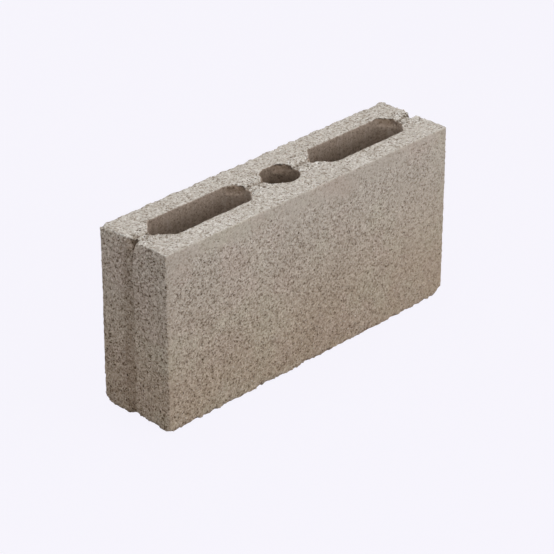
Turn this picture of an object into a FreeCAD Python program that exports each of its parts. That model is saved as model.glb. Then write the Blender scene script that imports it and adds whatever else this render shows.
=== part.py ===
import FreeCAD, Part
import Sketcher
import math
import os

# Hollow concrete masonry block, one casting. It stands as it came out of the mould:
# length along X, width along Y, height along Z, origin at the middle of its bed.
# Two long cores with pointed ends and a round finger hole run through it from top to
# bed. All three are widest at the top, where the mould's core boxes hung from a bar,
# and that bar has left a crease across the top of every web and a notch at each end.

# Driving dimensions in millimetres: alias, value, what it measures.
DIMENSIONS = [
    ("length", 390, "overall length, a 400 module less one mortar joint"),
    ("width", 90, "overall width, a 100 module less one mortar joint"),
    ("height", 190, "overall height, a 200 module less one mortar joint"),
    ("face_shell", 26, "thickness of the two long walls, at the top"),
    ("end_web", 22, "thickness of the wall at each end, at the top"),
    ("core_web", 23.5, "thickness of the web between a core and the finger hole, at the top"),
    ("core_point", 16, "how far each end of a core narrows along the block"),
    ("core_corner", 7, "radius of the rounded corners of a core"),
    ("finger_hole", 38, "diameter of the finger hole, at the top"),
    ("core_draft", 3, "how far each core wall leans in between the top and the bed"),
    ("upright_arris", 2.5, "radius of the four upright corners"),
    ("rim_arris", 1, "radius round the top and bed outlines"),
    ("crease_width", 9.5, "width of the crease left by the core bar"),
    ("crease_spacing", 7, "distance between the crease's two valleys"),
    ("crease_depth", 1.8, "depth of the crease in its valleys"),
    ("notch_width", 11.5, "width of the notch in the end's top edge"),
    ("notch_depth", 11, "how far the notch runs down the end"),
    ("notch_reach", 11, "how far the notch runs in along the top"),
]

# The same values, for the places where the sketches are first drawn. The sheet's
# formulas then hold every sketch to the sheet.
START = {alias: value for alias, value, meaning in DIMENSIONS}

UP = FreeCAD.Vector(0, 0, 1)
SKETCH_ORIGIN = (-1, 1)
SKETCH_X_AXIS = -1
SKETCH_Y_AXIS = -2
FIRST_END = 1
LAST_END = 2
CENTRE = 3

doc = FreeCAD.newDocument("concrete_block")


def make_dimension_sheet():
    sheet = doc.addObject("Spreadsheet::Sheet", "dims")
    for row, (alias, value, meaning) in enumerate(DIMENSIONS, start=1):
        sheet.set("A%d" % row, alias)
        sheet.set("B%d" % row, str(value))
        sheet.set("C%d" % row, meaning)
        sheet.setAlias("B%d" % row, alias)
    doc.recompute()


def origin_plane(body, role):
    return next(item for item in body.Origin.OriginFeatures if item.Role == role)


def sketch_on(body, name, role, offset=None):
    """A sketch on one of the body's own origin planes, moved along its normal by a formula."""
    sketch = body.newObject("Sketcher::SketchObject", name)
    sketch.AttachmentSupport = (origin_plane(body, role), [""])
    sketch.MapMode = "FlatFace"
    if offset:
        sketch.setExpression("AttachmentOffset.Base.z", offset)
    return sketch


def dimension(sketch, kind, elements, name, start, formula):
    """Adds a named size to a sketch that follows the dimension sheet."""
    index = sketch.addConstraint(Sketcher.Constraint(kind, *elements, start))
    sketch.renameConstraint(index, name)
    sketch.setExpression("Constraints." + name, formula)


def relate(sketch, kind, *elements):
    """Adds a relation with no size, such as a tangency."""
    sketch.addConstraint(Sketcher.Constraint(kind, *elements))


def closed_polygon(sketch, points):
    """Straight sides through the points, joined end to end."""
    corners = [FreeCAD.Vector(x, y, 0) for x, y in points]
    following = corners[1:] + corners[:1]
    sides = [
        sketch.addGeometry(Part.LineSegment(start, end), False)
        for start, end in zip(corners, following)
    ]
    for side, next_side in zip(sides, sides[1:] + sides[:1]):
        relate(sketch, "Coincident", side, LAST_END, next_side, FIRST_END)
    return sides


def place_corner(sketch, side, name, start, across, up):
    """Holds the first end of a side at the formulas across and up from the sketch's origin."""
    corner = (*SKETCH_ORIGIN, side, FIRST_END)
    dimension(sketch, "DistanceX", corner, name + "_across", start[0], across)
    dimension(sketch, "DistanceY", corner, name + "_up", start[1], up)


def place_on_middle(sketch, side, name, start, up):
    """Holds the first end of a side on the sketch's upright axis, at the formula up."""
    relate(sketch, "PointOnObject", side, FIRST_END, SKETCH_Y_AXIS)
    dimension(sketch, "DistanceY", (*SKETCH_ORIGIN, side, FIRST_END), name + "_up", start[1], up)


def finish_feature(body, feature, fills=False):
    """Makes the feature the body's last one and makes sure that it took material away, or filled."""
    body.Tip = feature
    doc.recompute()
    if feature.Shape.isNull():
        raise RuntimeError(feature.Name + " has no shape")
    removed = feature.BaseFeature.Shape.Volume - feature.Shape.Volume
    if removed * (-1 if fills else 1) <= 0:
        raise RuntimeError(feature.Name + " changed nothing")
    print("%s removed %.0f mm3" % (feature.Name, removed))


def add_blank(body):
    """The plain rectangular casting."""
    outline = sketch_on(body, "outline", "XY_Plane")
    half_length = START["length"] / 2
    half_width = START["width"] / 2
    front, right, back, left = closed_polygon(outline, [
        (-half_length, -half_width),
        (half_length, -half_width),
        (half_length, half_width),
        (-half_length, half_width),
    ])
    relate(outline, "Horizontal", front)
    relate(outline, "Horizontal", back)
    relate(outline, "Vertical", right)
    relate(outline, "Vertical", left)
    relate(outline, "Symmetric", front, FIRST_END, back, FIRST_END, *SKETCH_ORIGIN)
    dimension(outline, "DistanceX", (front, FIRST_END, front, LAST_END),
              "length", START["length"], "dims.length")
    dimension(outline, "DistanceY", (right, FIRST_END, right, LAST_END),
              "width", START["width"], "dims.width")
    blank = body.newObject("PartDesign::Pad", "blank")
    blank.Profile = outline
    blank.setExpression("Length", "dims.height")
    body.Tip = blank
    doc.recompute()


def is_upright(edge):
    return edge.BoundBox.ZLength > edge.Length / 2


def is_level(edge):
    return not is_upright(edge)


def is_core_corner(edge):
    """True for the straight edges that run down a long core's corners."""
    inside = abs(edge.BoundBox.Center.x) < START["length"] / 2 - START["end_web"] / 2
    clear_of_hole = abs(edge.BoundBox.Center.x) > START["finger_hole"] / 2 + START["core_web"] / 2
    return is_upright(edge) and inside and clear_of_hole


def round_edges(body, name, formula, chosen, fills=False):
    """Rounds the chosen edges of the body as it stands; inner corners fill as they round."""
    base = body.Tip
    edges = ["Edge%d" % number for number, edge in enumerate(base.Shape.Edges, start=1) if chosen(edge)]
    fillet = body.newObject("PartDesign::Fillet", name)
    fillet.Base = (base, edges)
    fillet.setExpression("Radius", formula)
    finish_feature(body, fillet, fills)


def cut_core(body, name, profile):
    """Cuts down through the block from the top, leaning in by the draft on the way."""
    core = body.newObject("PartDesign::Pocket", name)
    core.Profile = profile
    core.Type = "Length"
    core.setExpression("Length", "dims.height")
    core.setExpression("TaperAngle", "-atan(dims.core_draft / dims.height)")
    finish_feature(body, core)
    return core


def cut_at_other_end(body, name, feature):
    """Repeats a cut at the other end of the block."""
    mirrored = body.newObject("PartDesign::Mirrored", name)
    mirrored.Originals = [feature]
    mirrored.MirrorPlane = (origin_plane(body, "YZ_Plane"), [""])
    finish_feature(body, mirrored)


def add_finger_hole(body):
    """The round hole in the middle."""
    profile = sketch_on(body, "finger_hole_profile", "XY_Plane", "dims.height")
    middle = FreeCAD.Vector(0, 0, 0)
    circle = profile.addGeometry(Part.Circle(middle, UP, START["finger_hole"] / 2), False)
    relate(profile, "Coincident", circle, CENTRE, *SKETCH_ORIGIN)
    dimension(profile, "Diameter", (circle,), "bore", START["finger_hole"], "dims.finger_hole")
    cut_core(body, "finger_hole", profile)


def add_long_cores(body):
    """The core at -X, a slot with pointed ends, and its like at +X."""
    profile = sketch_on(body, "long_core_profile", "XY_Plane", "dims.height")
    half_width = START["width"] / 2 - START["face_shell"]
    outer = START["length"] / 2 - START["end_web"]
    inner = START["finger_hole"] / 2 + START["core_web"]
    outer_shoulder = outer - START["core_point"]
    inner_shoulder = inner + START["core_point"]
    points = [
        (-outer, 0),
        (-outer_shoulder, -half_width),
        (-inner_shoulder, -half_width),
        (-inner, 0),
        (-inner_shoulder, half_width),
        (-outer_shoulder, half_width),
    ]
    sides = closed_polygon(profile, points)
    outer_formula = "-(dims.length / 2 - dims.end_web)"
    inner_formula = "-(dims.finger_hole / 2 + dims.core_web)"
    front = "-(dims.width / 2 - dims.face_shell)"
    back = "dims.width / 2 - dims.face_shell"
    outer_shoulder_formula = outer_formula + " + dims.core_point"
    inner_shoulder_formula = inner_formula + " - dims.core_point"
    relate(profile, "PointOnObject", sides[0], FIRST_END, SKETCH_X_AXIS)
    relate(profile, "PointOnObject", sides[3], FIRST_END, SKETCH_X_AXIS)
    dimension(profile, "DistanceX", (*SKETCH_ORIGIN, sides[0], FIRST_END), "outer_tip", -outer, outer_formula)
    dimension(profile, "DistanceX", (*SKETCH_ORIGIN, sides[3], FIRST_END), "inner_tip", -inner, inner_formula)
    place_corner(profile, sides[1], "front_outer", points[1], outer_shoulder_formula, front)
    place_corner(profile, sides[2], "front_inner", points[2], inner_shoulder_formula, front)
    place_corner(profile, sides[4], "back_inner", points[4], inner_shoulder_formula, back)
    place_corner(profile, sides[5], "back_outer", points[5], outer_shoulder_formula, back)
    core = cut_core(body, "long_core", profile)
    cut_at_other_end(body, "other_long_core", core)


def add_bar_crease(body):
    """Two shallow valleys with a lower ridge between them, along the middle of the top."""
    profile = sketch_on(body, "bar_crease_profile", "YZ_Plane")
    lip = START["crease_width"] / 2
    valley = START["crease_spacing"] / 2
    top = START["height"]
    floor = top - START["crease_depth"]
    ridge = top - START["crease_depth"] / 2
    points = [(-lip, top), (-valley, floor), (0, ridge), (valley, floor), (lip, top)]
    sides = closed_polygon(profile, points)
    valley_up = "dims.height - dims.crease_depth"
    place_corner(profile, sides[0], "front_lip", points[0], "-dims.crease_width / 2", "dims.height")
    place_corner(profile, sides[1], "front_valley", points[1], "-dims.crease_spacing / 2", valley_up)
    place_on_middle(profile, sides[2], "ridge", points[2], "dims.height - dims.crease_depth / 2")
    place_corner(profile, sides[3], "back_valley", points[3], "dims.crease_spacing / 2", valley_up)
    place_corner(profile, sides[4], "back_lip", points[4], "dims.crease_width / 2", "dims.height")
    crease = body.newObject("PartDesign::Pocket", "bar_crease")
    crease.Profile = profile
    crease.Type = "Length"
    crease.Midplane = True
    crease.setExpression("Length", "dims.length")
    finish_feature(body, crease)


def add_end_notches(body):
    """A V in the end's top edge that slopes up to nothing along the top, at both ends."""
    profile = sketch_on(body, "end_notch_profile", "YZ_Plane", "-dims.length / 2")
    lip = START["notch_width"] / 2
    top = START["height"]
    points = [(-lip, top), (0, top - START["notch_depth"]), (lip, top)]
    sides = closed_polygon(profile, points)
    place_corner(profile, sides[0], "front_lip", points[0], "-dims.notch_width / 2", "dims.height")
    place_on_middle(profile, sides[1], "apex", points[1], "dims.height - dims.notch_depth")
    place_corner(profile, sides[2], "back_lip", points[2], "dims.notch_width / 2", "dims.height")
    notch = body.newObject("PartDesign::Pocket", "end_notch")
    notch.Profile = profile
    notch.Type = "Length"
    notch.UseCustomVector = True
    notch.AlongSketchNormal = True
    notch.Direction = FreeCAD.Vector(1, 0, 1)
    notch.setExpression("Direction.x", "dims.notch_reach / dims.notch_depth")
    notch.setExpression("Length", "dims.notch_reach")
    finish_feature(body, notch)
    cut_at_other_end(body, "other_end_notch", notch)


def check_document():
    """Stops before anything is written if an object failed."""
    for item in doc.Objects:
        if "Invalid" in item.State or "Error" in item.State:
            raise RuntimeError("%s failed: %s" % (item.Name, item.State))


def write_step(body):
    shape = body.Shape
    if shape.isNull() or not shape.isValid() or len(shape.Solids) != 1:
        raise RuntimeError(body.Label + " is not one valid solid")
    os.makedirs("parts", exist_ok=True)
    shape.exportStep("parts/%s.step" % body.Label)
    print("%s: %.0f mm3" % (body.Label, shape.Volume))


make_dimension_sheet()
block = doc.addObject("PartDesign::Body", "concrete_block")
block.Label = "concrete_block"
add_blank(block)
round_edges(block, "upright_corners", "dims.upright_arris", is_upright)
round_edges(block, "rims", "dims.rim_arris", is_level)
add_finger_hole(block)
add_long_cores(block)
round_edges(block, "core_corners", "dims.core_corner", is_core_corner, fills=True)
add_bar_crease(block)
add_end_notches(block)
doc.recompute()
check_document()
write_step(block)
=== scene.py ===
"""The look of a hollow concrete masonry block.

The cast block becomes one closed mesh with chipped edges, broken bed corners and a pitted
skin, half-buried sand grains lie over its rough faces, and a pale stage lights it.
"""
import itertools
import math

import bpy
import numpy as np
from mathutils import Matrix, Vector


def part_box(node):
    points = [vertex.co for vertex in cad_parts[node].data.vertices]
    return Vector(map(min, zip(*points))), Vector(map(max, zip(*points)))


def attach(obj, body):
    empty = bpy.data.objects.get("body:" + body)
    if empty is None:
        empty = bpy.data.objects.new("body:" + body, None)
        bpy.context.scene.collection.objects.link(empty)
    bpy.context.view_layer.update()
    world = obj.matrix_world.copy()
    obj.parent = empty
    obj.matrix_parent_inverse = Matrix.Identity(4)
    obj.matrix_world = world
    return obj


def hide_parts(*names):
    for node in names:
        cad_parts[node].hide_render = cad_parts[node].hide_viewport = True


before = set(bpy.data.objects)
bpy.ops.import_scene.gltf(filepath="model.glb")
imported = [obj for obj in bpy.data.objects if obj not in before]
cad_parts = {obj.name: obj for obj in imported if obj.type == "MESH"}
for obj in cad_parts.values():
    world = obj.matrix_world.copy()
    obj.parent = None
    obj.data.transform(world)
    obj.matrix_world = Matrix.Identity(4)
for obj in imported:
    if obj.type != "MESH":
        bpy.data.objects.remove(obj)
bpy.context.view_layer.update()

bl_info = {
    "name": "Concrete Block",
    "version": (1, 0, 0),
    "blender": (4, 5, 0),
    "location": "View3D > Sidebar > Concrete Block",
    "description": "Weathers a cast concrete block, sows sand grains on it and sets a pale stage",
    "category": "Object",
}

NODE = "concrete_block"
BODY = "root"
CASTING = "weathered_casting"
MM = 0.001

LOW, HIGH = (np.array(corner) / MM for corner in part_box(NODE))
HALF_LENGTH = (HIGH[0] - LOW[0]) / 2
HALF_WIDTH = (HIGH[1] - LOW[1]) / 2
HEIGHT = HIGH[2] - LOW[2]

# Torn marks, in millimetres: distances from the middle plane, the notch's size, and the
# middles of the bites out of the core rims.
VALLEY_AT = 3.5
LIP_AT = 6.2
BURR_AT = 7.6
NOTCH_HALF_WIDTH = 7.2
NOTCH_DEPTH = 16.0
NOTCH_REACH = 14.0
TORN_RIMS = ((-51, 11), (15, 12), (163, 11))


# ---------------------------------------------------------------- sizes and colours

def length_setting(name, description, default):
    """A length in metres that shows in the panel."""
    return bpy.props.FloatProperty(
        name=name, description=description, default=default, min=0.0, unit="LENGTH", precision=5)


def colour_setting(name, description, default):
    return bpy.props.FloatVectorProperty(
        name=name, description=description, default=default, min=0.0, max=1.0, subtype="COLOR", size=3)


def number_setting(name, description, default, top=10.0):
    return bpy.props.FloatProperty(name=name, description=description, default=default, min=0.0, max=top)


class CastingSettings(bpy.types.PropertyGroup):
    core_width: length_setting("Core Width", "Width of a core at the top", 0.038)
    core_point: length_setting("Core Point", "Length of a long core's pointed end", 0.016)
    core_corner: length_setting("Core Corner", "Rounding of a long core's corners", 0.007)
    core_draft: length_setting("Core Draft", "How far a core wall leans in down to the bed", 0.003)
    end_web: length_setting("End Web", "Wall between a core and the end", 0.022)
    core_web: length_setting("Core Web", "Web between a core and the finger hole", 0.0235)
    voxel: length_setting("Voxel", "Cell of the remesh that the weathering moves", 0.00135)
    roughness: length_setting("Roughness", "Depth of the sandy relief", 0.0005)
    edge_wear: length_setting("Edge Wear", "Ordinary wear of the outer edges", 0.0007)
    triangles: bpy.props.IntProperty(
        name="Triangles", description="Most triangles in the finished casting", default=190000)
    seed: bpy.props.IntProperty(name="Seed", description="Start of all the casting's noise", default=4)


class ConcreteSettings(bpy.types.PropertyGroup):
    paste: colour_setting("Paste", "Cement paste high on the faces", (0.475, 0.418, 0.362))
    low_paste: colour_setting("Low Paste", "Browner paste near the bed", (0.475, 0.380, 0.292))
    top_paste: colour_setting("Top Paste", "Drier, greyer paste on the top", (0.470, 0.429, 0.383))
    # Core paste is darker than the faces partly as painted shade inside the cores, partly the walls' own
    # browner paste.
    core_paste_and_shade: colour_setting("Core Paste", "Slick, damp paste on the core walls", (0.325, 0.257, 0.205))
    warm_stain: colour_setting("Warm Stain", "Pinkish clouds in the paste", (0.490, 0.385, 0.330))
    cool_stain: colour_setting("Cool Stain", "Greenish clouds in the paste", (0.430, 0.400, 0.300))
    grain_size: length_setting("Grain Size", "Typical sand grain", 0.0016)
    pit_depth: length_setting("Pit Depth", "Depth of the pinholes between the grains", 0.0006)


class GrainSettings(bpy.types.PropertyGroup):
    radius: length_setting("Radius", "Largest sand grain radius", 0.0011)
    count: bpy.props.IntProperty(name="Count", description="Grains to sow", default=9300)
    seed: bpy.props.IntProperty(name="Seed", description="Where the grains fall", default=11)


class StageSettings(bpy.types.PropertyGroup):
    backdrop: colour_setting("Backdrop", "Colour behind the block", (0.922, 0.905, 0.973))
    key_power: number_setting("Key", "Strength of the overhead key light", 27.0, 500.0)
    sky: number_setting("Sky", "Strength of the light from all round", 0.10)
    azimuth: bpy.props.FloatProperty(
        name="Camera Azimuth", description="Camera angle round the block",
        default=math.radians(-45.87), subtype="ANGLE")
    elevation: bpy.props.FloatProperty(
        name="Camera Elevation", description="Camera angle above level",
        default=math.radians(28.22), subtype="ANGLE")
    distance: length_setting("Camera Distance", "From the aim point to the camera", 2.398)
    lens: number_setting("Lens", "Focal length in millimetres", 158.8, 500.0)


# ---------------------------------------------------------------- noise over points

def lump_noise(points, size, seed):
    """Smooth noise from -1 to 1 at each point, with lumps about size across."""
    cell = points / np.broadcast_to(size, 3) + seed * 17.31
    base = np.floor(cell).astype(np.int64)
    part = cell - base
    part = part * part * (3 - 2 * part)
    total = np.zeros(len(points))
    for corner in itertools.product((0, 1), repeat=3):
        weight = np.prod(np.where(corner, part, 1 - part), axis=1)
        total += weight * (2 * lattice_value(base + corner, seed) - 1)
    return total


def lattice_value(key, seed):
    """A repeatable number from 0 to 1 for each whole-number lattice point."""
    mixed = key[:, 0] * 73856093 ^ key[:, 1] * 19349663 ^ key[:, 2] * 83492791 ^ (seed + 7) * 2654435761
    mixed = mixed & 0xFFFFFFFF
    mixed = ((mixed ^ (mixed >> 15)) * 2246822519) & 0xFFFFFFFF
    mixed = ((mixed ^ (mixed >> 13)) * 3266489917) & 0xFFFFFFFF
    return ((mixed ^ (mixed >> 16)) & 0xFFFFF) / 0xFFFFF


def layered_noise(points, size, seed, layers=3):
    """Lump noise with finer, weaker layers on top of it."""
    total = np.zeros(len(points))
    for layer in range(layers):
        total += lump_noise(points, size / 2 ** layer, seed + 31 * layer) * 0.6 ** layer
    return total


def pit_depths(points, spacing, radius, share, seed):
    """Round pits scattered through space: 1 at a pit's middle and 0 outside all of them."""
    cell = np.floor(points / spacing).astype(np.int64)
    depth = np.zeros(len(points))
    for step in itertools.product((-1, 0, 1), repeat=3):
        key = cell + step
        middle = np.stack([lattice_value(key, seed + axis) for axis in range(3)], axis=1)
        chance = lattice_value(key, seed + 5)
        size = radius * (0.45 + 0.55 * lattice_value(key, seed + 6))
        away = np.linalg.norm(points - (key + middle) * spacing, axis=1) / size
        depth = np.maximum(depth, np.where(chance < share, 1 - away ** 2, 0))
    return depth


def ramp(value, low, high):
    """0 below low, 1 above high, smooth between."""
    part = np.clip((value - low) / (high - low), 0, 1)
    return part * part * (3 - 2 * part)


def bell(value, width):
    """1 where the value is 0, falling to nothing a few widths away."""
    return np.exp(-(value / width) ** 2)


def nearest_on_line(points, line):
    """The nearest point to each point on a line of straight pieces."""
    best, nearest = np.full(len(points), np.inf), points.copy()
    for start, end in zip(line, line[1:]):
        part = np.clip((points - start) @ (end - start) / ((end - start) @ (end - start)), 0, 1)
        here = start + part[:, None] * (end - start)
        away = np.linalg.norm(points - here, axis=1)
        nearest[away < best] = here[away < best]
        best = np.minimum(best, away)
    return nearest


# ---------------------------------------------------------------- the weathered casting

class Casting:
    """The block's surface points in millimetres, and where each one lies on the block."""

    def __init__(self, points, normals, settings):
        self.points = points
        self.normals = normals
        self.seed = settings.seed
        self.core_radius = settings.core_width / MM / 2
        self.core_corner = settings.core_corner / MM
        self.draft = settings.core_draft / MM
        self.tip_out = HALF_LENGTH - settings.end_web / MM
        self.tip_in = self.core_radius + settings.core_web / MM
        self.spine = self.core_spine(settings.core_point / MM)
        self.home = points.copy()
        # Painted shade that the material lays over the colour, from 0 to 1.
        self.painted_shade = np.zeros(len(points))
        self.broken = np.zeros(len(points))
        self.find_regions()

    def gaps(self):
        """Distance of each point in from the end, the long face, the bed and the top."""
        x, y, z = self.points.T
        return {
            "end": HALF_LENGTH - np.abs(x),
            "face": HALF_WIDTH - np.abs(y),
            "bed": z - LOW[2],
            "top": HIGH[2] - z,
        }

    def core_spine(self, point):
        """A quarter of the line that a long core's rounded outline keeps one radius away from."""
        turn = math.atan2(self.core_radius, point)
        shoulder = (self.tip_out - self.tip_in) / 2 - point - self.core_corner * math.tan(turn / 2)
        tip = (self.tip_out - self.tip_in) / 2 - self.core_corner / math.sin(turn)
        level = self.core_radius - self.core_corner
        return np.array([(0.0, level), (shoulder, level), (tip, 0.0)])

    def in_finger_hole(self, points):
        """Whether each point is nearer the finger hole than a long core."""
        return np.abs(points[:, 0]) < (self.core_radius + self.tip_in) / 2

    def core_offset(self):
        """Distance of each point from the nearest core's wall, and the way out of that core."""
        x, y, z = self.points.T
        run = np.abs(x) - (self.tip_in + self.tip_out) / 2
        quarter = np.abs(np.stack([run, y], axis=1))
        unfold = np.stack([np.sign(run) * np.sign(x), np.sign(y)], axis=1)
        from_spine = (quarter - nearest_on_line(quarter, self.spine)) * unfold
        in_hole = self.in_finger_hole(self.points)
        out = np.where(in_hole[:, None], self.points[:, :2], from_spine)
        length = np.maximum(np.linalg.norm(out, axis=1), 1e-6)
        radius = np.where(in_hole, self.core_radius, self.core_corner)
        return length - radius + self.draft * (HIGH[2] - z) / HEIGHT, out / length[:, None]

    def find_regions(self):
        """Masks from 0 to 1 that say what each point's surface is."""
        gaps = self.gaps()
        offset = self.core_offset()[0]
        x, y, z = self.points.T
        up = self.normals[:, 2]
        self.core = (np.abs(offset) < 1.7) * (np.abs(up) < 0.7) * (gaps["top"] > 0.5) * 1.0
        self.top = ramp(up, 0.4, 0.8)
        self.bed = ramp(-up, 0.4, 0.8)
        self.end = (1 - self.core) * ramp(np.abs(self.normals[:, 0]), 0.5, 0.8)
        self.face = (1 - self.core) * ramp(np.abs(self.normals[:, 1]), 0.5, 0.8)
        drift = 11 * layered_noise(self.points, 38.0, self.seed + 60)
        high_skin = ramp(-gaps["top"] + drift, -30, -8)
        end_skin = ramp(-gaps["end"] + 0.6 * drift, -13, -2)
        right_skin = 0.6 * ramp(x + 3 * drift, 70, 170)
        cloud = ramp(layered_noise(self.points, 62.0, self.seed + 70), 0.35, 0.9)
        skin = np.max([high_skin, 0.75 * np.maximum(end_skin, right_skin), 0.7 * cloud], axis=0)
        self.skin = np.clip(self.face * skin, 0, 1)
        self.web = self.top * ramp(-np.abs(y), -19, -12)

    def chip_edge(self, first, second, signs, size):
        """Cuts an uneven slope along the edge where two outer surfaces meet."""
        gaps = self.gaps()
        cut = np.maximum(size - gaps[first] - gaps[second], 0) / 2
        axes = {"end": 0, "face": 1, "bed": 2, "top": 2}
        for name in (first, second):
            axis = axes[name]
            inward = {"bed": 1.0, "top": -1.0}.get(name, -signs[axis])
            self.points[:, axis] += cut * inward

    def wear_edges(self, wear):
        """Ragged arrises: crisp at the top, more crumbled round the bed."""
        x, y, z = self.home.T
        signs = (np.sign(x), np.sign(y), 0)
        fine = layered_noise(self.home, 5.2, self.seed + 1)
        bite = ramp(layered_noise(self.home, 17.0, self.seed + 2), 0.35, 1.0)
        crisp = wear * (1.0 + 0.8 * fine + 0.8 * bite)
        crumbled = wear * (2.6 + 3.5 * fine + 2.8 * bite)
        back_top = np.where(y > 0, 3.0, 1.1)
        lifted = np.clip((y + HALF_WIDTH - 7) / 43, 0, 1) * ramp(-y, -13, -6) * (x < 0)
        end_bed = crumbled + 5.0 * lifted
        self.chip_edge("end", "face", signs, crisp)
        self.chip_edge("end", "top", signs, crisp)
        self.chip_edge("face", "top", signs, crisp * back_top)
        self.chip_edge("face", "bed", signs, crumbled)
        self.chip_edge("end", "bed", signs, end_bed)

    def wear_core_mouths(self, wear):
        """Slightly crumbled rims where the cores open at the top."""
        offset, out = self.core_offset()
        gap = HIGH[2] - self.points[:, 2]
        tips = ramp(-np.abs(self.home[:, 1]), -12, -6)
        size = wear * (0.6 + 1.0 * layered_noise(self.home, 5.0, self.seed + 3)) * (1 + 10 * tips)
        cut = np.maximum(size - np.abs(offset) - gap, 0) / 2
        self.points[:, 2] -= cut
        self.points[:, :2] += out * cut[:, None]

    def tear_rims(self):
        """Steep bites out of the core mouths where the concrete tore as the cores were drawn."""
        offset, out = self.core_offset()
        gap = HIGH[2] - self.points[:, 2]
        size = np.zeros(len(self.points))
        for x, y in TORN_RIMS:
            away = np.hypot(self.home[:, 0] - x, self.home[:, 1] - y)
            size = np.maximum(size, 5.5 * ramp(-away, -13, -5))
        size *= 0.85 + 0.5 * layered_noise(self.home, 6.0, self.seed + 5)
        bite = np.clip(size * (1 - gap / 9) - offset, 0, 6) * (offset > -3) * (gap < 9)
        self.points[:, :2] += out * bite[:, None]
        self.points[:, 2] -= 0.3 * bite * (1 - self.core)
        # Painted shade in the torn bites.
        self.darken(0.6 * ramp(bite, 0.3, 2.0))

    def break_corner(self, corner, along, across, up):
        """Breaks off a bed corner along a rough sloping facet."""
        inward = np.array([-np.sign(corner[0]), -np.sign(corner[1]), 1.0])
        reach = np.array([along, across, up])
        slope = 1 / reach
        rough = 0.16 * layered_noise(self.home, 6.0, self.seed + 4)
        level = ((self.points - corner) * inward / reach).sum(axis=1) + rough
        missing = np.maximum(1 - level, 0)
        self.points += missing[:, None] * inward * slope / (slope @ slope)
        self.broken = np.maximum(self.broken, ramp(missing, 0.0, 0.15))

    def break_corners(self):
        left, right, front, back, bed = -HALF_LENGTH, HALF_LENGTH, -HALF_WIDTH, HALF_WIDTH, LOW[2]
        self.break_corner((left, back, bed), 9.0, 12.5, 8.5)
        self.break_corner((left, front, bed), 9.0, 9.0, 5.5)
        self.break_corner((right, front, bed), 18.0, 11.0, 9.5)
        self.break_corner((right, back, bed), 7.0, 6.0, 5.0)

    def roughen(self, depth):
        """Sandy relief, pits and slow waves along the normals, all of it inwards."""
        home = self.home
        waves = 0.35 * lump_noise(home, 46.0, self.seed + 10)
        sandy = layered_noise(home, 4.2, self.seed + 11)
        gritty = lump_noise(home, 2.6, self.seed + 12)
        pits = pit_depths(home, 7.5, 2.6, 0.5, self.seed + 13)
        holes = pit_depths(home, 16.0, 4.6, 0.28, self.seed + 20)
        streaks = lump_noise(home, (2.6, 2.6, 60.0), self.seed + 14)
        rough = 1 - 0.72 * self.skin
        rough = rough * (1 + 1.1 * self.end + 0.2 * self.top + 1.5 * self.web
                         + 0.5 * self.bed + 0.8 * self.broken)
        outer = depth * rough * (0.6 * sandy + 0.5 * gritty - 0.45) - rough * (0.75 * pits + 0.9 * holes)
        slick = depth * (0.45 * streaks + 0.25 * sandy - 0.2) - 0.35 * pits
        move = np.where(self.core > 0.5, slick, outer) + waves * (1 - self.core) - 0.25
        self.points += self.normals * move[:, None]

    def tear_bar_marks(self):
        """The torn mark that the core bar left over the webs and down both ends."""
        x, y, z = self.home.T
        along = np.stack([x, np.zeros_like(x), z], axis=1)
        wander = 0.7 * layered_noise(along, 9.0, self.seed + 30)
        torn = np.clip(0.75 + 0.5 * layered_noise(along, 6.0, self.seed + 31), 0, 1.3)
        down = HIGH[2] - z
        on_top = self.top * (1 - self.core) * (down < 5)
        self.tear_crease(np.abs(y + wander), torn, on_top)
        self.mark_seam(wander, torn, down)
        self.open_notch(wander, on_top, down)
        self.shade_cores(down)

    def tear_crease(self, from_middle, torn, on_top):
        """Two torn valleys and two raised lips over the top of every web."""
        valley = bell(from_middle - VALLEY_AT, 1.1) * torn
        lip = bell(from_middle - LIP_AT, 1.3) * torn
        self.points[:, 2] += on_top * (0.5 * lip - 2.1 * valley)
        # Painted shade in the torn valleys.
        self.darken(0.75 * on_top * valley)

    def mark_seam(self, wander, torn, down):
        """The seam down each end: a line, a shallow hollow and a ridge, with burrs by the notch."""
        x, y, z = self.home.T
        seam = y - 1.0 + 1.6 * wander
        fading = 1 - 0.6 * ramp(down, 0, 90)
        line = bell(seam, 1.2) * fading
        hollow = 0.5 * ramp(seam, 0, 2.5) * ramp(-seam, -17, -3)
        ridge = 0.7 * bell(seam + 3.4, 2.2) * fading
        burr = 1.5 * bell(np.abs(y + wander) - BURR_AT, 1.7) * ramp(-down, -15, -9) * torn
        on_end = self.end * ramp(-self.gaps()["end"], -2.5, -1.0)
        self.points[:, 0] -= np.sign(x) * on_end * (line + hollow - ridge - burr)
        # Painted shade along the seam line, and a darker band painted over the hollow beside it; the left end
        # gets more.
        seam_darkening = 0.35 * ramp(seam, -1, 2) * ramp(-seam, -19, -9) + 0.45 * line
        stronger_left = 0.6 + 0.4 * (x < 0)
        self.darken(on_end * seam_darkening * stronger_left)

    def open_notch(self, wander, on_top, down):
        """Deepens the notch in each end's top edge and paints shade over its inside."""
        x, y, z = self.home.T
        half_width = NOTCH_HALF_WIDTH * (1 - down / NOTCH_DEPTH)
        gouge = ramp(half_width - np.abs(y + 0.6 * wander), 0, 2.2) * (self.core < 0.5) * (1 - on_top)
        gouge *= self.gaps()["end"] < NOTCH_REACH
        self.points[:, 0] -= np.sign(x) * 3.6 * gouge
        from_end = self.gaps()["end"]
        inside = ramp(from_end, 1.5, 4.0) * (from_end < NOTCH_REACH) * ramp(-np.abs(y), -7, -5)
        inside *= ramp(-down, -14, -11) * (down > 2.0)
        self.darken(np.maximum(inside, 0.9 * gouge))

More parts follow.
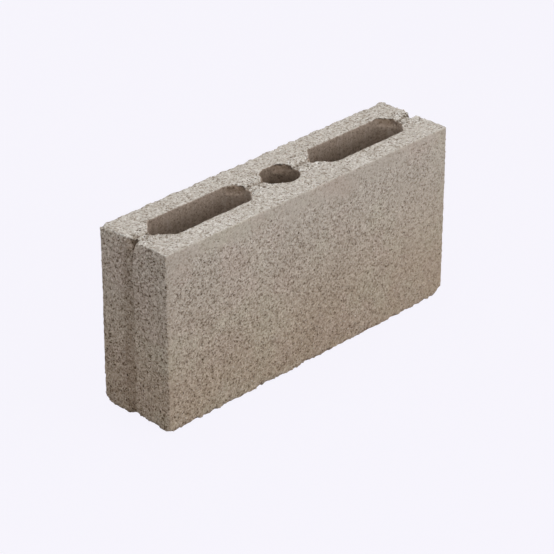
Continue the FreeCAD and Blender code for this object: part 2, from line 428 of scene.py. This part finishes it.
    def shade_cores(self, down):
        """Painted shade: core walls get darker with depth, and the finger hole is darker all through."""
        self.darken(self.core * (0.40 * ramp(down, 2, 30) + 0.35 * self.in_finger_hole(self.home)))

    def darken(self, amount):
        """Keeps the stronger of the shade so far and this one."""
        self.painted_shade = np.maximum(self.painted_shade, amount)


def cad_copy(name):
    """A merged copy of the CAD node's mesh, in its own object."""
    mesh = bpy.data.objects[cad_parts[NODE].name].data.copy()
    mesh.name = name
    mesh.materials.clear()
    piece = bpy.data.objects.new(name, mesh)
    bpy.context.scene.collection.objects.link(piece)
    weld = piece.modifiers.new("weld", "WELD")
    weld.merge_threshold = 1e-6
    return piece


def apply_modifiers(piece):
    """Turns what the modifiers make into the piece's own plain mesh."""
    graph = bpy.context.evaluated_depsgraph_get()
    finished = bpy.data.meshes.new_from_object(piece.evaluated_get(graph))
    old = piece.data
    piece.modifiers.clear()
    piece.data = finished
    finished.name = piece.name
    if old.users == 0:
        bpy.data.meshes.remove(old)
    return finished


def read_vectors(items, name):
    values = np.empty(len(items) * 3)
    items.foreach_get(name, values)
    return values.reshape(-1, 3)


def write_mask(mesh, name, values):
    mask = mesh.attributes.new(name, "FLOAT", "POINT")
    mask.data.foreach_set("value", np.ascontiguousarray(values, dtype=np.float32))


def store_regions(mesh, casting):
    """Keeps the masks that the materials and the grains read."""
    write_mask(mesh, "skin", casting.skin)
    write_mask(mesh, "top", casting.top * (1 - casting.core))
    write_mask(mesh, "core", casting.core)
    # The painted shade mask: darker creases, notches, torn rims, seam and deep core walls.
    write_mask(mesh, "painted_shade", casting.painted_shade)
    x, z = casting.home[:, 0], casting.home[:, 2]
    sandy_side = 0.15 * casting.face * ramp(-x - z, -170, 60)
    write_mask(mesh, "coarse", np.clip(0.42 * casting.end + 0.45 * casting.web + sandy_side, 0, 1))
    buried = 1 - ramp(casting.home[:, 2], 1.0, 4.0)
    grit = (1 - casting.core) * (1 - 0.85 * casting.skin) * (1 - buried)
    write_mask(mesh, "grit", np.clip(grit, 0, 1))


def lay_out_bake_map(mesh, casting_settings):
    """A UV map of flat islands: the six outer surfaces, and each core's walls in four strips."""
    uv_layer = mesh.uv_layers.new(name="OFBake")
    corners = np.empty(len(mesh.loops), dtype=np.int64)
    mesh.loops.foreach_get("vertex_index", corners)
    points = read_vectors(mesh.vertices, "co") / MM
    faces = np.repeat(np.arange(len(mesh.polygons)), 3)
    centres = read_vectors(mesh.polygons, "center") / MM
    place = Casting(centres, read_vectors(mesh.polygons, "normal"), casting_settings)
    gaps = place.gaps()
    offset, out = place.core_offset()
    in_core = (offset < 1.0) & (gaps["top"] > 1.2) & (gaps["bed"] > 1.2)
    outer = np.stack([gaps["end"], gaps["face"], gaps["bed"], gaps["top"]]).argmin(axis=0)
    strip = np.where(np.abs(out[:, 0]) > np.abs(out[:, 1]), 0, 1)
    core = np.where(np.abs(centres[:, 0]) < 2 * place.core_radius, 1, np.where(centres[:, 0] < 0, 0, 2))
    sides = {0: centres[:, 0] > 0, 1: centres[:, 1] > 0}
    margin = 4.0
    length, width = 2 * HALF_LENGTH + margin, 2 * HALF_WIDTH + margin
    tall = HEIGHT + margin
    reach = 2 * place.core_radius + margin
    core_length = place.tip_out - place.tip_in + margin
    spots = {}
    for back in (0, 1):
        spots["face", back] = (0, back * tall)
        spots["bed" if back else "top", 0] = (length, back * width)
        spots["end", back] = (length + back * width, 2 * width)
    walls_at = 2 * tall
    run = 0.0
    for number, side in itertools.product((0, 1, 2), (0, 1)):
        along = reach if number == 1 else core_length
        spots["wall", number, 1, side] = (run, walls_at)
        run += along
    run_up = 2 * width + tall
    for number, side in itertools.product((0, 1, 2), (0, 1)):
        spots["wall", number, 0, side] = (length + (number * 2 + side) % 5 * reach,
                                          run_up + (number * 2 + side) // 5 * tall)
    side_length = max(run, length + 5 * reach, walls_at + tall, run_up + 2 * tall)
    corner_points = points[corners]
    uv = np.zeros((len(corners), 2))

    def put(chosen, spot, first, second, low_first, low_second):
        loops = chosen[faces]
        uv[loops, 0] = spot[0] + margin / 2 + corner_points[loops][:, first] - low_first
        uv[loops, 1] = spot[1] + margin / 2 + corner_points[loops][:, second] - low_second

    for back in (0, 1):
        put(~in_core & (outer == 1) & (sides[1] == back), spots["face", back], 0, 2, -HALF_LENGTH, 0)
        put(~in_core & (outer == 0) & (sides[0] == back), spots["end", back], 1, 2, -HALF_WIDTH, 0)
    put(~in_core & (outer == 3), spots["top", 0], 0, 1, -HALF_LENGTH, -HALF_WIDTH)
    put(~in_core & (outer == 2), spots["bed", 0], 0, 1, -HALF_LENGTH, -HALF_WIDTH)
    starts = (-place.tip_out, -place.core_radius, place.tip_in)
    for number, side in itertools.product((0, 1, 2), (0, 1)):
        here = in_core & (core == number)
        across = here & (strip == 1) & ((out[:, 1] > 0) == side)
        put(across, spots["wall", number, 1, side], 0, 2, starts[number], 0)
        endwise = here & (strip == 0) & ((out[:, 0] > 0) == side)
        put(endwise, spots["wall", number, 0, side], 1, 2, -place.core_radius, 0)
    uv_layer.data.foreach_set("uv", (uv / side_length).ravel())


class BLOCK_OT_casting(bpy.types.Operator):
    """Makes the cast block's chipped and pitted surface, which stands for the CAD block"""
    bl_idname = "concrete_block.casting"
    bl_label = "Weather Casting"

    def execute(self, context):
        settings = context.scene.block_casting
        piece = cad_copy(CASTING)
        remesh = piece.modifiers.new("remesh", "REMESH")
        remesh.mode = "VOXEL"
        remesh.voxel_size = settings.voxel * 1
        mesh = apply_modifiers(piece)
        points = read_vectors(mesh.vertices, "co") / MM
        casting = Casting(points, read_vectors(mesh.vertices, "normal"), settings)
        casting.tear_bar_marks()
        casting.tear_rims()
        casting.break_corners()
        casting.wear_edges(settings.edge_wear / MM)
        casting.wear_core_mouths(0.6 * settings.edge_wear / MM)
        casting.roughen(settings.roughness / MM)
        casting.points[:, 2] = np.maximum(casting.points[:, 2], LOW[2])
        mesh.vertices.foreach_set("co", (casting.points * MM).ravel())
        store_regions(mesh, casting)
        mesh.update()
        thin = piece.modifiers.new("thin", "DECIMATE")
        thin.ratio = min(1.0, settings.triangles / (2 * len(mesh.polygons)))
        thin.use_collapse_triangulate = True
        piece.modifiers.new("facets", "TRIANGULATE")
        mesh = apply_modifiers(piece)
        mesh.materials.append(cast_concrete(context.scene.block_concrete))
        mesh.polygons.foreach_set("use_smooth", [True] * len(mesh.polygons))
        lay_out_bake_map(mesh, settings)
        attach(piece, BODY)
        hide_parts(NODE)
        return {"FINISHED"}


# ---------------------------------------------------------------- materials

def add_node(tree, kind, inputs=None, **settings):
    """A node with its settings and inputs; an input may be a value or another node's output."""
    node = tree.nodes.new(kind)
    for name, value in settings.items():
        setattr(node, name, value)
    for name, value in (inputs or {}).items():
        if isinstance(value, bpy.types.NodeSocket):
            tree.links.new(value, node.inputs[name])
        else:
            node.inputs[name].default_value = value
    return node


def calculate(tree, operation, first, second=0.0, third=0.0, clamp=False):
    node = add_node(tree, "ShaderNodeMath", {0: first, 1: second, 2: third},
                    operation=operation, use_clamp=clamp)
    return node.outputs[0]


def blend_colours(tree, amount, first, second, mode="MIX"):
    node = add_node(tree, "ShaderNodeMix", {0: amount, 6: first, 7: second}, data_type="RGBA", blend_type=mode)
    return node.outputs[2]


def opaque(colour):
    return (*colour, 1.0)


def step_between(tree, value, low, high, bottom=0.0, top=1.0):
    node = add_node(tree, "ShaderNodeMapRange",
                    {"Value": value, "From Min": low, "From Max": high, "To Min": bottom, "To Max": top},
                    interpolation_type="SMOOTHSTEP", clamp=True)
    return node.outputs[0]


def new_group(name, inputs, outputs):
    """An empty shader group with named sockets: (name, type, default)."""
    group = bpy.data.node_groups.new(name, "ShaderNodeTree")
    for socket_name, kind, default in inputs:
        socket = group.interface.new_socket(socket_name, in_out="INPUT", socket_type="NodeSocket" + kind)
        if default is not None:
            socket.default_value = default
    for socket_name, kind in outputs:
        group.interface.new_socket(socket_name, in_out="OUTPUT", socket_type="NodeSocket" + kind)
    return group, add_node(group, "NodeGroupInput").outputs, add_node(group, "NodeGroupOutput").inputs


def sand_group():
    """Sand and pinholes: a tone about 1 with painted shade in the pinholes, the pinholes' mask and a height
    from 0 to 1.
    """
    group, given, made = new_group(
        "sand_and_pinholes",
        [("Vector", "Vector", None), ("Grain Size", "Float", 0.0016), ("Smoothness", "Float", 0.0),
         ("Coarseness", "Float", 0.0)],
        [("Tone", "Float"), ("Pinholes", "Float"), ("Height", "Float")])
    scale = calculate(group, "DIVIDE", 1.0, given["Grain Size"])
    half_scale = calculate(group, "MULTIPLY", scale, 0.42)
    sand = add_node(group, "ShaderNodeTexNoise",
                    {"Vector": given["Vector"], "Scale": scale, "Detail": 3.0, "Roughness": 0.65}).outputs[0]
    clumps = add_node(group, "ShaderNodeTexNoise",
                      {"Vector": given["Vector"], "Scale": half_scale, "Detail": 2.0}).outputs[0]
    grains = add_node(group, "ShaderNodeTexVoronoi",
                      {"Vector": given["Vector"], "Scale": scale, "Randomness": 1.0})
    shade = add_node(group, "ShaderNodeSeparateColor", {0: grains.outputs["Color"]}).outputs[0]
    hole_field = add_node(group, "ShaderNodeTexVoronoi",
                          {"Vector": given["Vector"], "Scale": half_scale, "Randomness": 1.0})
    hole_pick = add_node(group, "ShaderNodeSeparateColor", {0: hole_field.outputs["Color"]})
    chosen = step_between(group, hole_pick.outputs[0], 0.50, 0.56)
    near = step_between(group, hole_field.outputs["Distance"], 0.10, 0.42, 1.0, 0.0)
    ragged = step_between(group, clumps, 0.36, 0.60)
    rough = calculate(group, "SUBTRACT", 1.0, calculate(group, "MULTIPLY", given["Smoothness"], 0.55))
    rough = calculate(group, "MULTIPLY", rough, calculate(group, "ADD", given["Coarseness"], 1.0))
    dark = step_between(group, shade, 0.08, 0.22, 1.0, 0.0)
    holes = calculate(group, "MULTIPLY", calculate(group, "MULTIPLY", chosen, near), rough)
    holes = calculate(group, "MULTIPLY", holes, calculate(group, "ADD", 0.45, ragged), clamp=True)
    wave = calculate(group, "MULTIPLY_ADD", sand, 1.36, -0.68)
    wave = calculate(group, "MULTIPLY_ADD", clumps, 0.60, calculate(group, "SUBTRACT", wave, 0.30))
    wave = calculate(group, "MULTIPLY_ADD", shade, 0.40, calculate(group, "SUBTRACT", wave, 0.17))
    wave = calculate(group, "MULTIPLY_ADD", dark, -0.22, wave)
    tone = calculate(group, "MULTIPLY_ADD", wave, rough, 1.0)
    # The pinholes are painted darker: painted shade in the pits.
    group.links.new(calculate(group, "MULTIPLY_ADD", holes, -0.34, tone), made["Tone"])
    group.links.new(holes, made["Pinholes"])
    relief = calculate(group, "MULTIPLY_ADD", wave, 0.5, 0.6)
    relief = calculate(group, "MULTIPLY", relief, rough)
    group.links.new(calculate(group, "MULTIPLY_ADD", holes, -0.8, relief), made["Height"])
    return group


def cloud_group():
    """Slow stains: two masks, a warm and a cool one, and a broad light-and-dark tone."""
    group, given, made = new_group(
        "paste_clouds", [("Vector", "Vector", None), ("Size", "Float", 0.05)],
        [("Warm", "Float"), ("Cool", "Float"), ("Tone", "Float")])
    scale = calculate(group, "DIVIDE", 1.0, given["Size"])
    first = add_node(group, "ShaderNodeTexNoise",
                     {"Vector": given["Vector"], "Scale": scale, "Detail": 4.0, "Roughness": 0.6})
    shifted = add_node(group, "ShaderNodeVectorMath", {0: given["Vector"], 1: (3.1, 7.7, 5.3)}).outputs[0]
    second = add_node(group, "ShaderNodeTexNoise",
                      {"Vector": shifted, "Scale": calculate(group, "MULTIPLY", scale, 0.8),
                       "Detail": 4.0, "Roughness": 0.6})
    group.links.new(step_between(group, first.outputs[0], 0.46, 0.66), made["Warm"])
    group.links.new(step_between(group, second.outputs[0], 0.50, 0.70), made["Cool"])
    group.links.new(calculate(group, "MULTIPLY_ADD", second.outputs[0], 0.30, 0.85), made["Tone"])
    return group


def shared_group(build, name):
    return bpy.data.node_groups.get(name) or build()


def place_group(tree, group, inputs):
    node = tree.nodes.new("ShaderNodeGroup")
    node.node_tree = group
    for name, value in inputs.items():
        if isinstance(value, bpy.types.NodeSocket):
            tree.links.new(value, node.inputs[name])
        else:
            node.inputs[name].default_value = value
    return node.outputs


def mask(tree, name):
    return add_node(tree, "ShaderNodeAttribute", attribute_name=name).outputs["Fac"]


def new_material(name):
    material = bpy.data.materials.new(name)
    material.use_nodes = True
    tree = material.node_tree
    return material, tree, tree.nodes["Principled BSDF"]


def cast_concrete(settings):
    """Dry-cast concrete: sandy faces, a paste skin, a greyer top and slick core walls, with painted shade in
    creases, notches, torn rims, pinholes and deep in the cores.
    """
    material, tree, shader = new_material("cast_concrete")
    where = add_node(tree, "ShaderNodeTexCoord").outputs["Object"]
    names = ("skin", "top", "core", "painted_shade", "coarse")
    skin, top, core, painted_shade, coarse = (mask(tree, name) for name in names)
    slick = calculate(tree, "MULTIPLY", core, 0.75)
    smooth = calculate(tree, "MAXIMUM", skin, slick)
    sand = place_group(tree, shared_group(sand_group, "sand_and_pinholes"),
                       {"Vector": where, "Grain Size": settings.grain_size, "Smoothness": smooth,
                        "Coarseness": coarse})
    clouds = place_group(tree, shared_group(cloud_group, "paste_clouds"), {"Vector": where, "Size": 0.055})
    height = add_node(tree, "ShaderNodeSeparateXYZ", {0: where}).outputs["Z"]
    high = step_between(tree, height, 0.0, HIGH[2] * MM)
    high = calculate(tree, "MULTIPLY", high, calculate(tree, "MULTIPLY_ADD", coarse, -0.5, 1.0))
    colour = blend_colours(tree, high, opaque(settings.low_paste), opaque(settings.paste))
    colour = blend_colours(tree, top, colour, opaque(settings.top_paste))
    colour = blend_colours(tree, core, colour, opaque(settings.core_paste_and_shade))
    open_air = calculate(tree, "SUBTRACT", 1.0, calculate(tree, "MAXIMUM", core, top))
    warm = calculate(tree, "MULTIPLY", calculate(tree, "MULTIPLY", clouds["Warm"], 0.35), open_air)
    cool = calculate(tree, "MULTIPLY", calculate(tree, "MULTIPLY", clouds["Cool"], 0.32), open_air)
    colour = blend_colours(tree, warm, colour, opaque(settings.warm_stain))
    colour = blend_colours(tree, cool, colour, opaque(settings.cool_stain))
    rise = step_between(tree, height, 0.0, HIGH[2] * MM, 0.90, 1.03)
    rise = blend_factor(tree, top, rise, 1.0)
    streaks = add_node(tree, "ShaderNodeMapping", {"Vector": where, "Scale": (1.0, 1.0, 0.045)}).outputs[0]
    streaked = add_node(tree, "ShaderNodeTexNoise", {"Vector": streaks, "Scale": 330.0, "Detail": 3.0})
    streak_tone = calculate(tree, "MULTIPLY_ADD", streaked.outputs[0], 0.5, 0.75)
    streak_tone = blend_factor(tree, core, 1.0, streak_tone)
    tone = calculate(tree, "MULTIPLY", sand["Tone"], clouds["Tone"])
    tone = calculate(tree, "MULTIPLY", tone, rise)
    tone = calculate(tree, "MULTIPLY", tone, streak_tone)
    # Painted shade from the casting's marks: creases, notches, torn rims, seam and deep core walls.
    tone = calculate(tree, "MULTIPLY", tone, calculate(tree, "MULTIPLY_ADD", painted_shade, -0.7, 1.0))
    earthy = add_node(tree, "ShaderNodeCombineColor", {
        0: tone, 1: calculate(tree, "POWER", tone, 1.14), 2: calculate(tree, "POWER", tone, 1.30)}).outputs[0]
    colour = blend_colours(tree, 1.0, colour, earthy, "MULTIPLY")
    tree.links.new(colour, shader.inputs["Base Color"])
    gloss = calculate(tree, "MULTIPLY_ADD", smooth, -0.12, 0.94)
    tree.links.new(gloss, shader.inputs["Roughness"])
    shader.inputs["Specular IOR Level"].default_value = 0.25
    bump = add_node(tree, "ShaderNodeBump",
                    {"Height": sand["Height"], "Distance": settings.pit_depth, "Strength": 1.0})
    tree.links.new(bump.outputs[0], shader.inputs["Normal"])
    return material


def blend_factor(tree, amount, first, second):
    node = add_node(tree, "ShaderNodeMix", {0: amount, 2: first, 3: second}, data_type="FLOAT")
    return node.outputs[0]


def sand_grain(settings):
    """Mixed sand: each grain has its own tone, from quartz to dark grit."""
    material, tree, shader = new_material("sand_grain")
    where = add_node(tree, "ShaderNodeTexCoord").outputs["Object"]
    tone = mask(tree, "tone")
    top = mask(tree, "lift")
    colour = add_node(tree, "ShaderNodeValToRGB", {0: tone})
    stops = colour.color_ramp
    stops.elements[0].position = 0.0
    stops.elements[0].color = (0.20, 0.155, 0.125, 1)
    stops.elements[1].position = 1.0
    stops.elements[1].color = (0.66, 0.60, 0.53, 1)
    for position, shade in ((0.12, (0.33, 0.27, 0.22, 1)), (0.3, (0.46, 0.385, 0.315, 1)),
                            (0.75, (0.50, 0.425, 0.355, 1)), (0.9, (0.58, 0.50, 0.42, 1))):
        stops.elements.new(position).color = shade
    dust = add_node(tree, "ShaderNodeTexNoise", {"Vector": where, "Scale": 900.0, "Detail": 2.0}).outputs[0]
    dusty = calculate(tree, "MULTIPLY_ADD", dust, 0.5, 0.75)
    grey = add_node(tree, "ShaderNodeCombineColor", {0: dusty, 1: dusty, 2: dusty}).outputs[0]
    dusted = calculate(tree, "MULTIPLY", top, 0.35)
    body = blend_colours(tree, dusted, colour.outputs[0], opaque(settings.top_paste))
    tree.links.new(blend_colours(tree, 1.0, body, grey, "MULTIPLY"), shader.inputs["Base Color"])
    shader.inputs["Roughness"].default_value = 0.8
    shader.inputs["Specular IOR Level"].default_value = 0.3
    return material


# ---------------------------------------------------------------- sand grains

def new_sowing_tree(material):
    """Sows half-buried stones over a mesh, thickest where its grit mask is high."""
    tree = bpy.data.node_groups.new("sow_grains", "GeometryNodeTree")
    sockets = {}
    for name, kind, default in (("Geometry", "Geometry", None), ("Density", "Float", 40000.0),
                                ("Radius", "Float", 0.001), ("Seed", "Int", 0)):
        socket = tree.interface.new_socket(name, in_out="INPUT", socket_type="NodeSocket" + kind)
        if default is not None:
            socket.default_value = default
        sockets[name] = socket.identifier
    tree.interface.new_socket("Geometry", in_out="OUTPUT", socket_type="NodeSocketGeometry")
    given = add_node(tree, "NodeGroupInput").outputs
    grit = add_node(tree, "GeometryNodeInputNamedAttribute", {"Name": "grit"}, data_type="FLOAT").outputs[0]
    lift = add_node(tree, "GeometryNodeInputNamedAttribute", {"Name": "top"}, data_type="FLOAT").outputs[0]
    density = calculate(tree, "MULTIPLY", grit, given["Density"])
    sown = add_node(tree, "GeometryNodeDistributePointsOnFaces",
                    {"Mesh": given["Geometry"], "Density": density, "Seed": given["Seed"]})
    keep_lift = add_node(tree, "GeometryNodeStoreNamedAttribute",
                         {"Geometry": sown.outputs["Points"], "Name": "lift", "Value": lift},
                         data_type="FLOAT", domain="POINT")
    stone = add_node(tree, "GeometryNodeMeshIcoSphere", {"Radius": 1.0, "Subdivisions": 1}).outputs[0]
    spread = random_value(tree, 0.0, 1.0, 5)
    size = calculate(tree, "MULTIPLY_ADD", calculate(tree, "POWER", spread, 3.0), 0.65, 0.35)
    size = calculate(tree, "MULTIPLY", size, given["Radius"])
    squash = add_node(tree, "FunctionNodeRandomValue", {0: (0.6, 0.7, 0.55), 1: (1.25, 1.1, 0.95), "Seed": 8},
                      data_type="FLOAT_VECTOR").outputs[0]
    scale = add_node(tree, "ShaderNodeVectorMath", {0: squash, "Scale": size}, operation="SCALE").outputs[0]
    turn = add_node(tree, "FunctionNodeRandomValue", {0: (0.0, 0.0, 0.0), 1: (6.3, 6.3, 6.3), "Seed": 9},
                    data_type="FLOAT_VECTOR").outputs[0]
    sunk = add_node(tree, "GeometryNodeInstanceOnPoints",
                    {"Points": keep_lift.outputs[0], "Instance": stone, "Rotation": turn, "Scale": scale})
    tone = random_value(tree, 0.0, 1.0, 7)
    toned = add_node(tree, "GeometryNodeStoreNamedAttribute",
                     {"Geometry": sunk.outputs[0], "Name": "tone", "Value": tone},
                     data_type="FLOAT", domain="INSTANCE")
    real = add_node(tree, "GeometryNodeRealizeInstances", {"Geometry": toned.outputs[0]})
    coated = add_node(tree, "GeometryNodeSetMaterial", {"Geometry": real.outputs[0], "Material": material})
    add_node(tree, "NodeGroupOutput", {0: coated.outputs[0]})
    return tree, sockets


def random_value(tree, low, high, seed):
    node = add_node(tree, "FunctionNodeRandomValue", {2: low, 3: high, "Seed": seed}, data_type="FLOAT")
    return node.outputs[1]


def gritty_area(mesh):
    """Area of the mesh in square metres, counted by its grit mask."""
    grit = np.empty(len(mesh.vertices), dtype=np.float32)
    mesh.attributes["grit"].data.foreach_get("value", grit)
    areas = np.empty(len(mesh.polygons))
    mesh.polygons.foreach_get("area", areas)
    corners = np.empty(len(mesh.loops), dtype=np.int64)
    mesh.loops.foreach_get("vertex_index", corners)
    return float((areas * grit[corners].reshape(-1, 3).mean(axis=1)).sum())


class BLOCK_OT_grains(bpy.types.Operator):
    """Sows sand grains, half buried in the casting's rough faces"""
    bl_idname = "concrete_block.grains"
    bl_label = "Sow Sand Grains"

    def execute(self, context):
        settings = context.scene.block_grains
        ground = bpy.data.objects.get(CASTING)
        if ground is None:
            raise RuntimeError("the casting comes before its grains")
        piece = bpy.data.objects.new("sand_grains", ground.data.copy())
        context.scene.collection.objects.link(piece)
        tree, sockets = new_sowing_tree(sand_grain(context.scene.block_concrete))
        sow = piece.modifiers.new("sow", "NODES")
        sow.node_group = tree
        sow[sockets["Density"]] = settings.count / gritty_area(piece.data)
        sow[sockets["Radius"]] = settings.radius
        sow[sockets["Seed"]] = settings.seed
        apply_modifiers(piece)
        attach(piece, BODY)
        return {"FINISHED"}


# ---------------------------------------------------------------- stage

def direction(azimuth, elevation):
    """The way from the block to a camera or lamp at these angles."""
    flat = math.cos(elevation)
    return Vector((math.sin(azimuth) * flat, -math.cos(azimuth) * flat, math.sin(elevation)))


def add_soft_light(name, place, aim, size, power):
    lamp = bpy.data.lights.new(name, "AREA")
    lamp.shape = "DISK"
    lamp.size = size
    lamp.energy = power
    light = bpy.data.objects.new(name, lamp)
    light.location = place
    light.rotation_euler = (Vector(aim) - Vector(place)).to_track_quat("-Z", "Y").to_euler()
    bpy.context.scene.collection.objects.link(light)


def pale_floor(colour):
    """Seen by the camera it is nearly its own colour, with a trace of the block's shadow."""
    material, tree, shader = new_material("pale_floor")
    shader.inputs["Base Color"].default_value = (0.50, 0.49, 0.49, 1)
    shader.inputs["Roughness"].default_value = 0.9
    shader.inputs["Specular IOR Level"].default_value = 0.0
    plain = add_node(tree, "ShaderNodeEmission", {"Color": opaque(colour), "Strength": 1.03})
    path = add_node(tree, "ShaderNodeLightPath")
    seen = calculate(tree, "MULTIPLY", path.outputs["Is Camera Ray"], 0.95)
    mixed = add_node(tree, "ShaderNodeMixShader", {0: seen, 1: shader.outputs[0], 2: plain.outputs[0]})
    output = tree.nodes["Material Output"]
    tree.links.new(mixed.outputs[0], output.inputs["Surface"])
    return material


def light_world(colour, strength):
    """A pale surround: soft light on the block and the plain backdrop to the camera."""
    world = bpy.data.worlds.new("pale_surround")
    world.use_nodes = True
    tree = world.node_tree
    path = add_node(tree, "ShaderNodeLightPath").outputs["Is Camera Ray"]
    soft = tree.nodes["Background"]
    soft.inputs["Color"].default_value = (1.0, 1.0, 1.0, 1)
    soft.inputs["Strength"].default_value = strength
    seen = add_node(tree, "ShaderNodeBackground", {"Color": opaque(colour), "Strength": 1.0})
    mixed = add_node(tree, "ShaderNodeMixShader", {0: path, 1: soft.outputs[0], 2: seen.outputs[0]})
    tree.links.new(mixed.outputs[0], tree.nodes["World Output"].inputs["Surface"])
    bpy.context.scene.world = world


class BLOCK_OT_stage(bpy.types.Operator):
    """Sets the pale floor, the soft light and the camera"""
    bl_idname = "concrete_block.stage"
    bl_label = "Set Stage"

    def execute(self, context):
        settings = context.scene.block_stage
        middle = Vector(((LOW + HIGH) / 2 * MM).tolist())
        bpy.ops.mesh.primitive_plane_add(size=40.0, location=(0, 0, LOW[2] * MM))
        floor = context.object
        floor.name = "floor"
        floor.data.materials.append(pale_floor(settings.backdrop))
        light_world(settings.backdrop, settings.sky)
        for name, azimuth, elevation, away, size, share in (
                ("overhead_key", 0, 76, 1.5, 2.4, 1.0),
                ("front_fill", 22, 20, 2.4, 1.0, 0.60),
                ("end_fill", -80, 15, 2.4, 1.0, 0.30),
                ("rear_fill", 165, 35, 1.6, 1.2, 0.25)):
            place = middle + away * direction(math.radians(azimuth), math.radians(elevation))
            add_soft_light(name, place, middle, size, settings.key_power * share)
        aim = middle + Vector((-0.0075, -0.0032, -0.0142))
        lens = bpy.data.cameras.new("camera")
        lens.lens = settings.lens
        lens.sensor_width = 36.0
        lens.clip_start = 0.05
        camera = bpy.data.objects.new("camera", lens)
        camera.location = aim + settings.distance * direction(settings.azimuth, settings.elevation)
        camera.rotation_euler = (aim - camera.location).to_track_quat("-Z", "Y").to_euler()
        context.scene.collection.objects.link(camera)
        context.scene.camera = camera
        context.scene.view_settings.view_transform = "Standard"
        return {"FINISHED"}


# ---------------------------------------------------------------- panel and run

class BLOCK_PT_panel(bpy.types.Panel):
    """The block's pieces, each with its settings"""
    bl_idname = "BLOCK_PT_panel"
    bl_label = "Concrete Block"
    bl_space_type = "VIEW_3D"
    bl_region_type = "UI"
    bl_category = "Concrete Block"

    def draw(self, context):
        for name, operator in STEPS:
            settings = getattr(context.scene, name)
            box = self.layout.box()
            for prop in settings.__annotations__:
                box.prop(settings, prop)
            if operator:
                box.operator(operator)


STEPS = (
    ("block_concrete", None),
    ("block_casting", "concrete_block.casting"),
    ("block_grains", "concrete_block.grains"),
    ("block_stage", "concrete_block.stage"),
)
SETTINGS = {
    "block_concrete": ConcreteSettings,
    "block_casting": CastingSettings,
    "block_grains": GrainSettings,
    "block_stage": StageSettings,
}
CLASSES = (*SETTINGS.values(), BLOCK_OT_casting, BLOCK_OT_grains, BLOCK_OT_stage, BLOCK_PT_panel)


def register():
    for item in CLASSES:
        bpy.utils.register_class(item)
    for name, group in SETTINGS.items():
        setattr(bpy.types.Scene, name, bpy.props.PointerProperty(type=group))


def unregister():
    for name in SETTINGS:
        delattr(bpy.types.Scene, name)
    for item in reversed(CLASSES):
        bpy.utils.unregister_class(item)


def main():
    register()
    bpy.ops.concrete_block.casting()
    bpy.ops.concrete_block.grains()
    bpy.ops.concrete_block.stage()


if __name__ == "__main__":
    main()
